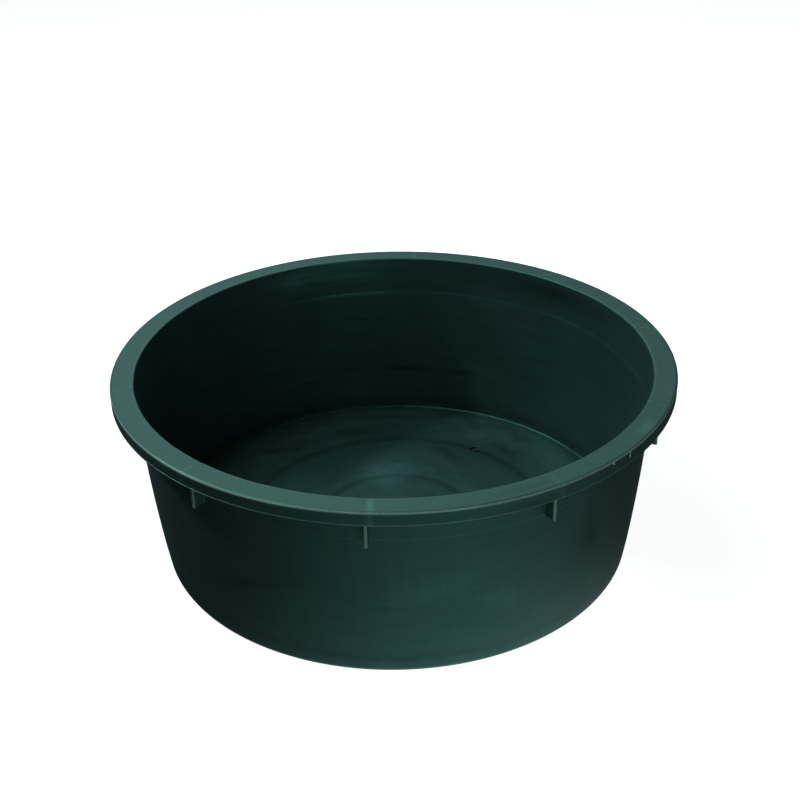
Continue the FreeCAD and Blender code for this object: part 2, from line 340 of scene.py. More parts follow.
@dataclass(frozen=True)
class MouldingField:
    """Small departures from the drawn shape that a large moulding cools with, in metres."""

    sizes: TubSizes
    oval: float = 0.5 * MM
    warp: float = 0.45 * MM
    panel_wave: float = 0.22 * MM
    panel_cycles: tuple[int, ...] = (3, 4, 5, 7)
    panel_heights: tuple[float, float] = (12 * MM, 90 * MM)
    mouth_wave: float = 0.16 * MM
    mouth_cycles: tuple[int, ...] = (17, 23, 31, 44)
    mouth_reach: float = 5 * MM
    floor_wave: float = 0.35 * MM
    sink_depth: float = 0.3 * MM
    wall_sink: float = 0.42 * MM
    sink_width: float = 2.2 * MM
    pin_azimuth: float = math.radians(60.4)
    pin_radius: float = 192.9 * MM
    pin_inside: float = 4.6 * MM
    pin_outside: float = 8.4 * MM
    pin_edge: float = 0.8 * MM
    pin_depth: float = 2.4 * MM
    pin_reach: float = 11.0 * MM
    fine_step: float = 0.55 * MM
    gusset_reach: float = 8.0 * MM
    gusset_step: float = 0.8 * MM
    seed: int = 68

    def columns(self, count: int) -> np.ndarray:
        """Give the azimuths at which every section is repeated.

        Args:
            count: how many even places there are round the ring, before finer ones are put in over each
                gusset and the pin mark.

        Returns:
            The azimuths in radians, rising from 0.
        """
        radius = self.sizes.rim_radius
        spans = [(azimuth, self.gusset_reach / radius, self.gusset_step / radius)
                 for azimuth in self.sizes.gusset_azimuths()]
        spans.append((self.pin_azimuth, self.pin_reach / self.pin_radius, self.fine_step / self.pin_radius))
        kept = np.arange(count) * FULL_TURN / count
        fine = []
        for middle, half, step in spans:
            away = np.abs((kept - middle + math.pi) % FULL_TURN - math.pi)
            kept = kept[away > half + step]
            fine.append(middle + np.arange(-half, half + step / 2, step))
        return np.sort(np.concatenate([kept, *fine]) % FULL_TURN)

    def pin_groove(self, x: np.ndarray, y: np.ndarray) -> np.ndarray:
        """Depth of the round groove that the pin left, flat-bottomed between softened walls.

        Args:
            x: distances along the frame's x axis.
            y: distances along its y axis.

        Returns:
            The depth at each place, in metres.
        """
        pin_x = self.pin_radius * math.cos(self.pin_azimuth)
        pin_y = self.pin_radius * math.sin(self.pin_azimuth)
        from_pin = np.hypot(x - pin_x, y - pin_y)
        rise = fade(from_pin, self.pin_inside, self.pin_inside + self.pin_edge)
        return self.pin_depth * rise * fade(from_pin, self.pin_outside, self.pin_outside - self.pin_edge)

    def waves(self, azimuth: np.ndarray, cycles: Sequence[int]) -> np.ndarray:
        """Add up cosines with random phases, scaled to stay near -1 to 1.

        Args:
            azimuth: the azimuths, in radians.
            cycles: how many times each cosine goes up and down round the ring.

        Returns:
            The sum at each azimuth.
        """
        random = np.random.default_rng(self.seed + cycles[0])
        total = np.zeros_like(azimuth)
        for count in cycles:
            total += random.uniform(0.4, 1.0) * np.cos(count * azimuth + random.uniform(0.0, FULL_TURN))
        return total / math.sqrt(len(cycles))

    def beside_gussets(self, azimuth: np.ndarray, radius: np.ndarray) -> np.ndarray:
        """Bell curve of the distance along the ring to the nearest gusset.

        Args:
            azimuth: the azimuths, in radians.
            radius: the radii there.

        Returns:
            1 over a gusset, 0 away from it.
        """
        pitch = FULL_TURN / self.sizes.gusset_count
        offset = (azimuth - self.sizes.first_gusset + pitch / 2) % pitch - pitch / 2
        return np.exp(-((offset * radius / self.sink_width) ** 2))

    def moved(self, points: np.ndarray) -> np.ndarray:
        """Move points of the drawn shape to where the moulding really is.

        The rim is slightly oval and lifts and dips by a second and third harmonic, both growing with the
        square of the height. The walls swell and sink by a few low harmonics, the mouth's edge ripples, the
        floor heaves by slow waves and has the pin's groove, and the plastic sinks in a shallow line over each
        gusset.

        Args:
            points: (..., 3) places in metres.

        Returns:
            The moved places, in the same shape.
        """
        sizes = self.sizes
        x, y, z = points[..., 0], points[..., 1], points[..., 2]
        radius, azimuth = np.hypot(x, y), np.arctan2(y, x)
        height = z / sizes.rim_top
        outward = self.oval * np.cos(2 * (azimuth - 0.6)) * height**2
        outward += self.panel_wave * self.waves(azimuth, self.panel_cycles) * fade(z, *self.panel_heights)
        upward = self.warp * np.cos(2 * azimuth + 1.1) * height**2
        upward += 0.5 * self.warp * np.cos(3 * azimuth - 0.4) * height**2
        from_mouth = np.hypot(radius - sizes.mouth, z - sizes.rim_top)
        ripple = self.mouth_wave * self.waves(azimuth, self.mouth_cycles)
        outward += ripple * np.exp(-((from_mouth / self.mouth_reach) ** 2))
        floor_edge = sizes.floor_outside
        on_floor = fade(radius, floor_edge - 4 * MM, floor_edge - 60 * MM) * fade(z, 40 * MM, 20 * MM)
        heave = np.cos(19 * x + 2.0) * np.cos(14 * y) + 0.6 * np.cos(31 * y + 9 * x)
        upward += self.floor_wave * on_floor * heave
        upward -= self.pin_groove(x, y) * fade(z, sizes.floor_rise + 2 * MM, sizes.floor_top - 0.2 * MM)
        over = self.beside_gussets(azimuth, np.maximum(radius, 0.1))
        on_top = fade(z, sizes.flange_bottom, sizes.rim_top - 0.5 * MM)
        top_reach = on_top * fade(radius, sizes.skirt_inside - 2 * MM, sizes.gusset_edge - 8 * MM)
        upward -= self.sink_depth * over * top_reach
        mid_wall = sizes.band_foot - sizes.wall / 2 + (z - sizes.shoulder) * sizes.band_flare
        inside = fade(radius, mid_wall, mid_wall - sizes.wall / 2 + 0.1 * MM)
        outward += self.wall_sink * over * inside * fade(z, sizes.shoulder - 6 * MM, sizes.shoulder + 4 * MM)
        unit = np.stack([np.cos(azimuth), np.sin(azimuth)], axis=-1)
        level = points[..., :2] + unit * (outward * fade(radius, 0.0, 0.2))[..., None]
        return np.concatenate([level, (z + upward)[..., None]], axis=-1)


@dataclass(frozen=True)
class SoftPatch:
    """A soft patch on one face, used for smudges and for painted light: where it is, how far it reaches
    along and across, and how much paler it is.

    The azimuth is in degrees, the lengths are in millimetres, and the slant tips it by radians. A negative
    strength makes it darker instead of paler.
    """

    azimuth: float
    radius: float
    height: float
    along: float
    across: float
    strength: float
    slant: float = 0.0

    def amount(self, points: np.ndarray) -> np.ndarray:
        """Bell curve of the tipped distances along the ring and across it.

        Args:
            points: (n, 3) places.

        Returns:
            The smear's strength at each place.
        """
        radius, azimuth = np.hypot(points[:, 0], points[:, 1]), np.arctan2(points[:, 1], points[:, 0])
        turn = (azimuth - math.radians(self.azimuth) + math.pi) % FULL_TURN - math.pi
        run = turn * self.radius * MM
        rise = points[:, 2] - self.height * MM + radius - self.radius * MM
        along = run * math.cos(self.slant) + rise * math.sin(self.slant)
        across = rise * math.cos(self.slant) - run * math.sin(self.slant)
        bell = np.exp(-((along / (self.along * MM)) ** 2) - (across / (self.across * MM)) ** 2)
        return self.strength * bell


@dataclass(frozen=True)
class ShadedRing:
    """A soft band of painted shade or light right round one face, darker or paler; lengths in millimetres."""

    radius: float
    height: float
    width: float
    strength: float

    def amount(self, points: np.ndarray) -> np.ndarray:
        """Bell curve of the distance from the band's middle line in section.

        Args:
            points: (n, 3) places.

        Returns:
            The band's strength at each place.
        """
        aside = np.hypot(points[:, 0], points[:, 1]) - self.radius * MM
        above = points[:, 2] - self.height * MM
        return self.strength * np.exp(-(np.hypot(aside, above) / (self.width * MM)) ** 2)


# Painted shade in bands on the floor beside its two rings and round its edge, where the heel's cove
# meets the floor, and a band of painted light just outside the inner ring.
PAINTED_RING_SHADE = (
    ShadedRing(190.0, 15.4, 6.5, -0.36),
    ShadedRing(92.0, 16.4, 6.0, -0.34),
    ShadedRing(101.0, 16.0, 4.0, 0.25),
    # Painted shade in the cove low on the inner wall and on the floor's edge beside it.
    ShadedRing(288.0, 24.0, 8.0, -0.35),
    ShadedRing(281.0, 15.0, 5.0, -0.3),
)
# Scrapes low on the inner wall and paler patches on the inner side of the band.
INSIDE_SMEARS = (
    SoftPatch(92.0, 297.0, 72.0, 34.0, 2.6, -0.7),
    SoftPatch(76.5, 297.0, 70.0, 20.0, 3.0, -0.8),
    SoftPatch(108.0, 297.0, 74.0, 16.0, 2.4, -0.6),
    SoftPatch(122.0, 306.0, 222.0, 22.0, 14.0, 0.5),
    SoftPatch(114.0, 308.0, 224.0, 70.0, 15.0, 0.9),
    SoftPatch(50.0, 308.0, 222.0, 95.0, 16.0, -0.6),
)
# Paler and darker patches on the floor, the rim's top and the outer wall; the broad pale one near the
# floor's middle is a painted pool of light.
SMUDGES_AND_PAINTED_LIGHT = (
    SoftPatch(140.0, 232.0, 15.0, 30.0, 5.0, -0.7, 0.5),
    SoftPatch(64.0, 225.0, 15.0, 26.0, 12.0, 0.45),
    SoftPatch(78.0, 150.0, 16.0, 40.0, 14.0, 0.1),
    SoftPatch(-27.5, 325.0, 241.0, 14.0, 6.0, 0.7),
    SoftPatch(-89.0, 322.0, 241.0, 3.0, 12.0, 0.8),
    # Painted pool of light on the floor's front, near the middle.
    SoftPatch(102.0, 98.0, 16.0, 34.0, 42.0, 1.0),
    SoftPatch(70.0, 165.0, 16.0, 24.0, 7.0, -0.4, 0.5),
    SoftPatch(60.0, 132.0, 16.0, 30.0, 6.0, 0.35, 0.4),
    SoftPatch(52.0, 215.0, 15.0, 34.0, 9.0, -0.3, 0.3),
    SoftPatch(45.0, 240.0, 15.0, 44.0, 8.0, 0.1, 0.2),
    SoftPatch(86.0, 225.0, 15.0, 26.0, 9.0, 0.15, -0.3),
    SoftPatch(112.0, 220.0, 15.0, 40.0, 10.0, -0.3, 0.2),
    SoftPatch(40.0, 160.0, 15.0, 50.0, 8.0, 0.12, 0.1),
    SoftPatch(-60.0, 322.0, 241.0, 30.0, 5.0, -0.35),
    SoftPatch(-78.0, 300.0, 120.0, 60.0, 18.0, 0.35, 0.3),
    SoftPatch(-62.0, 298.0, 90.0, 40.0, 16.0, 0.3, -0.4),
    SoftPatch(-40.0, 300.0, 130.0, 18.0, 30.0, -0.35, 0.2),
    SoftPatch(-118.0, 298.0, 100.0, 50.0, 9.0, -0.3, 0.35),
)
# Paler lines across the rim's top over the gussets, the first of which has a stronger smudge of its own.
SINKS = tuple(SoftPatch(-90.0 + 36.0 * number, 322.0, 241.0, 2.4, 13.0, 0.35) for number in range(1, 10))


# ---------------------------------------------------------------- finishes


class Mixed(Enum):
    """What a mixing node mixes: its data type, its first input of that type, and its output of that type."""

    NUMBERS = ("FLOAT", 2, 0)
    COLOURS = ("RGBA", 6, 2)

    def __init__(self, data_type: str, first: int, output: int) -> None:
        """Name the three parts."""
        self.data_type, self.first, self.output = data_type, first, output


def linear(hex_colour: str) -> tuple[float, float, float, float]:
    """Turn an sRGB hex colour such as "#1a2b2a" into linear red, green, blue and alpha."""
    channels = [int(hex_colour[place : place + 2], 16) / 255.0 for place in (1, 3, 5)]
    curve = [value / 12.92 if value <= 0.04045 else ((value + 0.055) / 1.055) ** 2.4 for value in channels]
    return (*curve, 1.0)


def new_material(name: str) -> tuple[bpy.types.Material, bpy.types.NodeTree]:
    """Make a material with an empty node tree.

    Args:
        name: name of the material.

    Returns:
        The material and its tree.
    """
    material = bpy.data.materials.new(name)
    material.use_nodes = True
    material.node_tree.nodes.clear()
    return material, material.node_tree


def add_node(tree: bpy.types.NodeTree, kind: str, inputs: dict | None = None, **settings) -> bpy.types.Node:
    """Add one shader node.

    Args:
        tree: the material's node tree.
        kind: the node's type name.
        inputs: input names or numbers, and for each a constant or the output socket that feeds it.
        settings: the node's own attributes and their values.

    Returns:
        The new node.
    """
    node = tree.nodes.new(kind)
    for name, value in settings.items():
        setattr(node, name, value)
    for name, value in (inputs or {}).items():
        if isinstance(value, bpy.types.NodeSocket):
            tree.links.new(value, node.inputs[name])
        else:
            node.inputs[name].default_value = value
    return node


@dataclass(frozen=True)
class Nodes:
    """The kinds of node that the finishes are built from, each giving the output socket of a new one.

    Every input may be a constant or the output socket of another node.
    """

    tree: bpy.types.NodeTree

    def place(self) -> Socket:
        """Place on the piece, in metres."""
        return add_node(self.tree, "ShaderNodeTexCoord").outputs["Object"]

    def stored(self, name: str) -> Socket:
        """Number stored on the piece's vertices under a name."""
        return add_node(self.tree, "ShaderNodeAttribute", attribute_name=name).outputs["Fac"]

    def scaled(self, place: Socket, scale: Triple, rotation: Triple = (0.0, 0.0, 0.0)) -> Socket:
        """Place turned and scaled along each axis."""
        return add_node(
            self.tree, "ShaderNodeMapping", {"Vector": place, "Scale": scale, "Rotation": rotation}
        ).outputs[0]

    def noise(self, place: Socket, size: float, detail: float, roughness: float = 0.5) -> Socket:
        """Cloudy noise from 0 to 1, with patches of a size."""
        inputs = {"Vector": place, "Scale": 1 / size, "Detail": detail, "Roughness": roughness}
        return add_node(self.tree, "ShaderNodeTexNoise", inputs).outputs["Fac"]

    def maths(self, operation: str, *values: Input) -> Socket:
        """Result of a sum on two or three values."""
        return add_node(self.tree, "ShaderNodeMath", dict(enumerate(values)), operation=operation).outputs[0]

    def span(self, value: Socket, taken: Pair = (0.0, 1.0), given: Pair = (0.0, 1.0)) -> Socket:
        """Value carried from one range over to another, and held within it."""
        inputs = dict(zip(("Value", "From Min", "From Max", "To Min", "To Max"), (value, *taken, *given)))
        return add_node(self.tree, "ShaderNodeMapRange", inputs).outputs[0]

    def mix(self, kind: Mixed, share: Socket, first: Input, second: Input) -> Socket:
        """Two numbers or two colours mixed, all of the second at a share of 1."""
        inputs = {0: share, kind.first: first, kind.first + 1: second}
        return add_node(self.tree, "ShaderNodeMix", inputs, data_type=kind.data_type).outputs[kind.output]

    def relief(self, height: Socket, amount: Pair, under: Socket | None, invert: bool = False) -> Socket:
        """Normal of a fine relief of (strength, depth in metres), laid over the one under it."""
        inputs = {"Height": height, "Strength": amount[0], "Distance": amount[1]}
        inputs |= {"Normal": under} if under else {}
        return add_node(self.tree, "ShaderNodeBump", inputs, invert=invert).outputs[0]

    def surface(self, shader: bpy.types.Node) -> None:
        """Make a shader the material's surface."""
        add_node(self.tree, "ShaderNodeOutputMaterial", {"Surface": shader.outputs[0]})


@dataclass(frozen=True)
class MouldedPolyethylene:
    """High-density polyethylene, pigmented dark green and moulded against a bead-blasted steel tool.

    The tool's fine grain gives a broad, soft gloss instead of a mirror. The flow of the melt leaves cloudy
    patches and rings on the floor, and drawing the tub off the core leaves faint upright streaks on the
    walls. Pale paint along the exposed edges is a painted highlight, and the same edges are a little
    smoother.
    """

    name: str = "injection-moulded polyethylene"
    pigment: str = "#2d4041"
    cloud: str = "#324546"
    # Pale paint of the painted highlights along the edges.
    highlight_paint: str = "#cfe4df"
    gloss_tint: str = "#8bffea"
    gloss: float = 0.5
    ior: float = 1.54
    roughness: float = 0.36
    roughness_change: float = 0.05
    roughness_range: Pair = (0.3, 0.7)
    scratch_dulling: float = 0.06
    rub_polish: float = 0.08
    mottle: float = 0.13
    mottle_range: Pair = (0.25, 0.75)
    cloud_size: float = 90 * MM
    cloud_range: Pair = (0.35, 0.65)
    streak_size: float = 9 * MM
    streak_length: float = 160 * MM
    sweep_length: float = 70 * MM
    sweep_height: float = 6 * MM
    sweep_share: Pair = (0.55, 1.0)
    ring_pitch: float = 22 * MM
    ring_heights: Pair = (24 * MM, 17 * MM)
    swirl_size: float = 42 * MM
    swirl: float = 5.0
    scuff_size: float = 2.2 * MM
    scuff_scale: Triple = (1.0, 0.06, 0.3)
    scuff_turn: Triple = (0.4, 0.2, 0.7)
    scratch_range: Pair = (0.62, 0.72)
    patch_break: tuple[Pair, Pair] = ((0.3, 0.6), (0.35, 1.0))
    grain_size: float = 1.6 * MM
    grain_relief: Pair = (0.25, 0.06 * MM)
    mark_relief: Pair = (0.5, 0.12 * MM)
    scratch_relief: Pair = (0.3, 0.05 * MM)
    swell_size: float = 38 * MM
    swell_relief: Pair = (1.0, 0.7 * MM)

    def wall_marks(self, nodes: Nodes, place: Socket) -> Socket:
        """Make the walls' marks: upright streaks and level sweeps, with sweeps alone on the inner faces.

        Args:
            nodes: the material's nodes.
            place: the place on the piece.

        Returns:
            The socket of the marks, from 0 to 1.
        """
        around, along = 1 / self.streak_size, 1 / self.streak_length
        streaks = nodes.noise(nodes.scaled(place, (around, around, along)), 1.0, 4.0, 0.6)
        around, along = 1 / self.sweep_length, 1 / self.sweep_height
        sweeps = nodes.noise(nodes.scaled(place, (around, around, along)), 1.0, 4.0, 0.6)
        swept = nodes.span(nodes.stored("inward"), given=self.sweep_share)
        return nodes.mix(Mixed.NUMBERS, swept, streaks, sweeps)

    def floor_marks(self, nodes: Nodes, place: Socket, apart: bpy.types.Node) -> Socket:
        """Make the floor's marks: noise of the distance from the axis alone, swirled a little.

        Args:
            nodes: the material's nodes.
            place: the place on the piece.
            apart: the node that gives the place's parts.

        Returns:
            The socket of the marks, from 0 to 1.
        """
        flat = add_node(nodes.tree, "ShaderNodeCombineXYZ", {axis: apart.outputs[axis] for axis in "XY"})
        from_axis = add_node(nodes.tree, "ShaderNodeVectorMath", {0: flat.outputs[0]}, operation="LENGTH")
        swirled = nodes.maths("MULTIPLY", nodes.noise(place, self.swirl_size, 3.0, 0.6), self.swirl)
        ring = nodes.maths("MULTIPLY_ADD", from_axis.outputs["Value"], 1 / self.ring_pitch, swirled)
        inputs = {"W": ring, "Scale": 1.0, "Detail": 3.0}
        return add_node(nodes.tree, "ShaderNodeTexNoise", inputs, noise_dimensions="1D").outputs["Fac"]

    def build(self) -> bpy.types.Material:
        """Make the material, whose colour, gloss and relief all follow the same marks.

        Returns:
            The finished material.
        """
        material, tree = new_material(self.name)
        nodes = Nodes(tree)
        place = nodes.place()
        apart = add_node(tree, "ShaderNodeSeparateXYZ", {0: place})
        rub_and_highlight, grain = nodes.stored("rub_and_highlight"), nodes.noise(place, self.grain_size, 2.0, 0.7)
        clouds = nodes.noise(place, self.cloud_size, 3.0, 0.55)
        on_walls = self.wall_marks(nodes, place)
        on_floor = nodes.span(apart.outputs["Z"], self.ring_heights)
        marks = nodes.mix(Mixed.NUMBERS, on_floor, on_walls, self.floor_marks(nodes, place, apart))
        scuffs = nodes.noise(nodes.scaled(place, self.scuff_scale, self.scuff_turn), self.scuff_size, 2.0)
        scratches = nodes.span(scuffs, self.scratch_range)

        tinted = nodes.mix(
            Mixed.COLOURS, nodes.span(clouds, self.cloud_range), linear(self.pigment), linear(self.cloud)
        )
        # Painted highlight: the edges painted pale, broken up by the grain.
        highlit = nodes.mix(Mixed.COLOURS, nodes.maths("MULTIPLY", rub_and_highlight, grain), tinted, linear(self.highlight_paint))
        # Smudges, with painted shade and light on the floor's rings and cove and a painted pool of light on
        # the floor.
        smudge_and_painted_light = nodes.maths("MULTIPLY", nodes.stored("smear_and_painted_light"), nodes.span(on_walls, *self.patch_break))
        mottled = nodes.span(marks, self.mottle_range, (1.0 - self.mottle, 1.0 + self.mottle))
        lit = nodes.maths("ADD", smudge_and_painted_light, mottled)
        shaded = add_node(tree, "ShaderNodeHueSaturation", {"Value": lit, "Color": highlit}).outputs[0]

        change = self.roughness_change
        rough = nodes.maths(
            "ADD",
            nodes.span(marks, self.roughness_range, (-change, change)),
            nodes.span(clouds, given=(self.roughness - change, self.roughness + change)),
        )
        duller = nodes.maths("MULTIPLY_ADD", scratches, self.scratch_dulling, rough)
        polished = nodes.maths("MULTIPLY_ADD", rub_and_highlight, -self.rub_polish, duller)

        normal = nodes.relief(grain, self.grain_relief, None)
        normal = nodes.relief(marks, self.mark_relief, normal)
        normal = nodes.relief(scratches, self.scratch_relief, normal, invert=True)
        normal = nodes.relief(nodes.noise(place, self.swell_size, 2.0, 0.45), self.swell_relief, normal)
        nodes.surface(add_node(tree, "ShaderNodeBsdfPrincipled", {
            "IOR": self.ior,
            "Specular Tint": linear(self.gloss_tint),
            "Specular IOR Level": nodes.maths("MULTIPLY", lit, self.gloss),
            "Base Color": shaded,
            "Roughness": polished,
            "Normal": normal,
        }))
        return material


@dataclass(frozen=True)
class MattePaper:
    """Seamless background paper: pale, matte and a little uneven."""

    name: str = "matte background paper"
    colour: str = "#f4f4f2"
    shade: str = "#eeeeec"
    patch: float = 1 / 1.5
    roughness: float = 0.95
    gloss: float = 0.1
    glow: float = 0.9

    def build(self) -> bpy.types.Material:
        """Make the material and its nodes.

        Returns:
            The finished material.
        """
        material, tree = new_material(self.name)
        nodes = Nodes(tree)
        uneven = nodes.noise(nodes.place(), self.patch, 2.0)
        nodes.surface(add_node(tree, "ShaderNodeBsdfPrincipled", {
            "Base Color": nodes.mix(Mixed.COLOURS, uneven, linear(self.colour), linear(self.shade)),
            "Roughness": self.roughness,
            "Specular IOR Level": self.gloss,
            "Emission Color": (1, 1, 1, 1),
            "Emission Strength": self.glow,
        }))
        return material


# ---------------------------------------------------------------- the tub


@dataclass
class TurnedZone:
    """A ring zone of the tub: a closed section turned about the upright axis."""

    sizes: TubSizes
    faults: MouldingField
    node: str = ""
    even_columns: int = 400

    def section(self) -> np.ndarray:
        """Give the closed section, anticlockwise, as rows of (radius, height)."""
        raise NotImplementedError

    def rub_and_highlight(self, points: np.ndarray) -> np.ndarray:
        """Give how strongly each point is painted pale as an edge's painted highlight, and smoothed, by a
        bell curve of the distance from each exposed edge.

        Args:
            points: (n, 3) places in metres.

        Returns:
            1 on a bare edge, 0 away from them all.
        """
        sizes = self.sizes
        radius, height = np.hypot(points[:, 0], points[:, 1]), points[:, 2]
        # Painted highlights along the rim's outer round, the skirt's lower lip, the mouth, the foot and the
        # shoulder.
        edges = (
            (sizes.rim_radius - 0.3 * MM, sizes.rim_top - 1.0 * MM, 1.2 * MM, 1.0),
            (sizes.rim_radius, sizes.skirt_bottom + 0.5 * MM, 1.3 * MM, 0.35),
            (sizes.mouth - 0.5 * MM, sizes.rim_top, 1.6 * MM, 0.06),
            (sizes.heel_outside(0.0) - 2 * MM, 2 * MM, 4 * MM, 0.16),
            (sizes.band_foot, sizes.shoulder, 1.0 * MM, 0.02),
        )
        highlit = np.zeros(len(points))
        for edge_radius, edge_height, width, amount in edges:
            distance = np.hypot(radius - edge_radius, height - edge_height)
            highlit = np.maximum(highlit, amount * np.exp(-((distance / width) ** 2)))
        return highlit

    def build(self, finish: bpy.types.Material) -> bpy.types.Object:
        """Turn the section, move it by the moulding's faults, and hand the piece over to the frame.

        Args:
            finish: the material that it wears.

        Returns:
            The finished piece.
        """
        points, faces = turned(self.section(), self.faults.columns(self.even_columns))
        piece = mesh_object(f"{self.node}_skin", self.faults.moved(points), faces)
        # Pale paint for the edges' painted highlights, and their smoothing.
        add_values(piece, "rub_and_highlight", self.rub_and_highlight(points))
        inward = facing_inward(piece)
        add_values(piece, "inward", inward)
        # Smudges and sink lines, with painted shade and light round the floor's rings and cove and a painted
        # pool of light on the floor.
        everywhere = sum(mark.amount(points) for mark in (*SMUDGES_AND_PAINTED_LIGHT, *SINKS, *PAINTED_RING_SHADE))
        add_values(piece, "smear_and_painted_light", everywhere + inward * sum(mark.amount(points) for mark in INSIDE_SMEARS))
        return dress(piece, finish, self.node)


def add_values(piece: bpy.types.Object, name: str, values: np.ndarray) -> None:
    """Store one number for each vertex of a piece under a name that its finish reads."""
    layer = piece.data.attributes.new(name, "FLOAT", "POINT")
    layer.data.foreach_set("value", values.astype(np.float32))


def facing_inward(piece: bpy.types.Object) -> np.ndarray:
    """Say how far each vertex of a ring faces the axis.

    Args:
        piece: the ring's object.

    Returns:
        1 straight at the axis, 0 away from it or up or down.
    """
    mesh = piece.data
    normals, places = np.empty((2, len(mesh.vertices) * 3), dtype=np.float32)
    mesh.vertex_normals.foreach_get("vector", normals)
    mesh.vertices.foreach_get("co", places)
    normals, places = normals.reshape(-1, 3), places.reshape(-1, 3)
    from_axis = np.maximum(np.hypot(places[:, 0], places[:, 1]), 1e-6)
    return np.clip(-(normals[:, :2] * places[:, :2]).sum(axis=1) / from_axis, 0.0, 1.0)


def dress(piece: bpy.types.Object, finish: bpy.types.Material, node: str | None) -> bpy.types.Object:
    """Give a piece its finish and its place in the frame.

    Args:
        piece: the finished mesh object.
        finish: the material that it wears.
        node: the CAD node that it stands for, or None for a small mark of its own.

    Returns:
        The same piece.
    """
    piece.data.materials.append(finish)
    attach(piece, BODY)
    if node:
        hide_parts(node)
    log.info("%s: %d faces", piece.name, len(piece.data.polygons))
    return piece


def floor_line(sizes: TubSizes, faults: MouldingField, start: float, end: float, flat: float) -> np.ndarray:
    """Draw the floor's line in section, finer over its soft rings and over the pin mark.

    Args:
        sizes: the tub's sizes.
        faults: the moulding's faults, which say where the pin mark is.
        start: first radius.
        end: last radius, which may be the smaller.
        flat: height of this side of the floor outside both rings.

    Returns:
        Rows of (radius, height), both ends among them.
    """
    low, high = sorted((start, end))
    pin = np.arange(-faults.pin_reach, faults.pin_reach, faults.fine_step) + faults.pin_radius
    rings = [np.arange(-12 * MM, 8 * MM, 1 * MM) + ring for ring in (sizes.outer_step, sizes.inner_step)]
    radii = np.concatenate([np.linspace(low, high, 16), pin, *rings])
    radii = np.unique(np.round(radii[(radii >= low) & (radii <= high)], 5))
    line = np.stack([radii, flat + sizes.floor_lift(radii)], axis=1)
    return line if start < end else line[::-1]


@dataclass
class FloorCentre(TurnedZone):
    """Disc of floor inside the inner step ring, with the stub of the injection gate under it."""

    node: str = "floor_centre"
    gate_radius: float = 7.0 * MM
    gate_height: float = 1.6 * MM
    gate_round: float = 1 * MM
    gate_draft: float = 0.3 * MM

    def section(self) -> np.ndarray:
        """Underside with the gate's stub, edge, and top."""
        sizes = self.sizes
        low = sizes.floor_rise + 2 * sizes.floor_step
        stub = low - self.gate_height
        corner, root = self.gate_radius - self.gate_round, self.gate_radius + self.gate_draft
        gate = outline(
            ((0.0, stub), 3),
            ((corner, stub), 4, self.gate_round),
            ((self.gate_radius, stub + self.gate_round), 2),
            end=(root, low),
        )
        return np.concatenate([
            gate,
            floor_line(sizes, self.faults, root, sizes.inner_step, sizes.floor_rise),
            floor_line(sizes, self.faults, sizes.inner_step, 0.0, sizes.floor_top),
        ])


@dataclass
class FloorZone(TurnedZone):
    """Ring of floor, rising softly towards the middle."""

    inside: float = 0.0
    outside: float = 0.0

    def section(self) -> np.ndarray:
        """Underside outwards, and top inwards."""
        sizes = self.sizes
        return np.concatenate([
            floor_line(sizes, self.faults, self.inside, self.outside, sizes.floor_rise),
            floor_line(sizes, self.faults, self.outside, self.inside, sizes.floor_top),
        ])


@dataclass
class FootRing(TurnedZone):
    """Ring that the tub stands on: foot, rounded outer corner, and the floor's outer edge with its fillet."""

    node: str = "foot_ring"

    def section(self) -> np.ndarray:
        """Foot, outer corner, heel's base, fillet, floor edge and the foot's inner side."""
        sizes = self.sizes
        reach = math.tan((math.pi / 2 - sizes.heel_slope) / 2)
        corner = sizes.heel_outside(0.0)
        lean, rise = math.sin(sizes.heel_slope), math.cos(sizes.heel_slope)
        out_reach, in_reach = sizes.heel_round * reach, sizes.floor_fillet * reach
        foot_outside = corner - out_reach
        foot_inside = foot_outside - sizes.foot_width
        round_end = (corner + out_reach * lean, out_reach * rise)
        fillet_top = (sizes.floor_corner + in_reach * lean, sizes.heel_base)
        fillet_foot = (sizes.floor_corner - in_reach, sizes.floor_top)
        return outline(
            ((foot_inside, 0.0), 4),
            ((foot_outside, 0.0), 14, sizes.heel_round),
            (round_end, 8),
            (sizes.heel_outer_foot, 1),
            (fillet_top, 10, -sizes.floor_fillet),
            (fillet_foot, 6),
            ((sizes.floor_outside, sizes.floor_top), 1),
            ((sizes.floor_outside, sizes.floor_rise), 5),
        )


@dataclass
class HeelRing(TurnedZone):
    """Lowest part of the wall, which closes faster than the side wall does."""

    node: str = "heel_ring"

    def section(self) -> np.ndarray:
        """Base, outer face, top and inner face."""
        sizes = self.sizes
        drop = (sizes.heel_base - sizes.floor_top) * math.tan(sizes.heel_slope)
        return outline(
            ((sizes.floor_corner + drop, sizes.heel_base), 1),
            (sizes.heel_outer_foot, 10),
            ((sizes.wall_foot, sizes.heel_top), 1),
            ((sizes.wall_foot - sizes.wall, sizes.heel_top), 10),
        )


@dataclass
class SideWall(TurnedZone):
    """Tapered wall between heel and shoulder, swelling a little on the way."""

    node: str = "side_wall"

    def section(self) -> np.ndarray:
        """Foot, outer face, top and inner face."""
        sizes = self.sizes
        foot, top = (sizes.wall_foot, sizes.heel_top), (sizes.wall_top, sizes.band_bottom)
        chord = math.dist(foot, top)
        arc = chord**2 / (8 * sizes.wall_bulge) + sizes.wall_bulge / 2
        inner_foot, inner_top = (foot[0] - sizes.wall, foot[1]), (top[0] - sizes.wall, top[1])
        return outline((inner_foot, 1), (foot, 40, arc), (top, 1), (inner_top, 40, -arc))


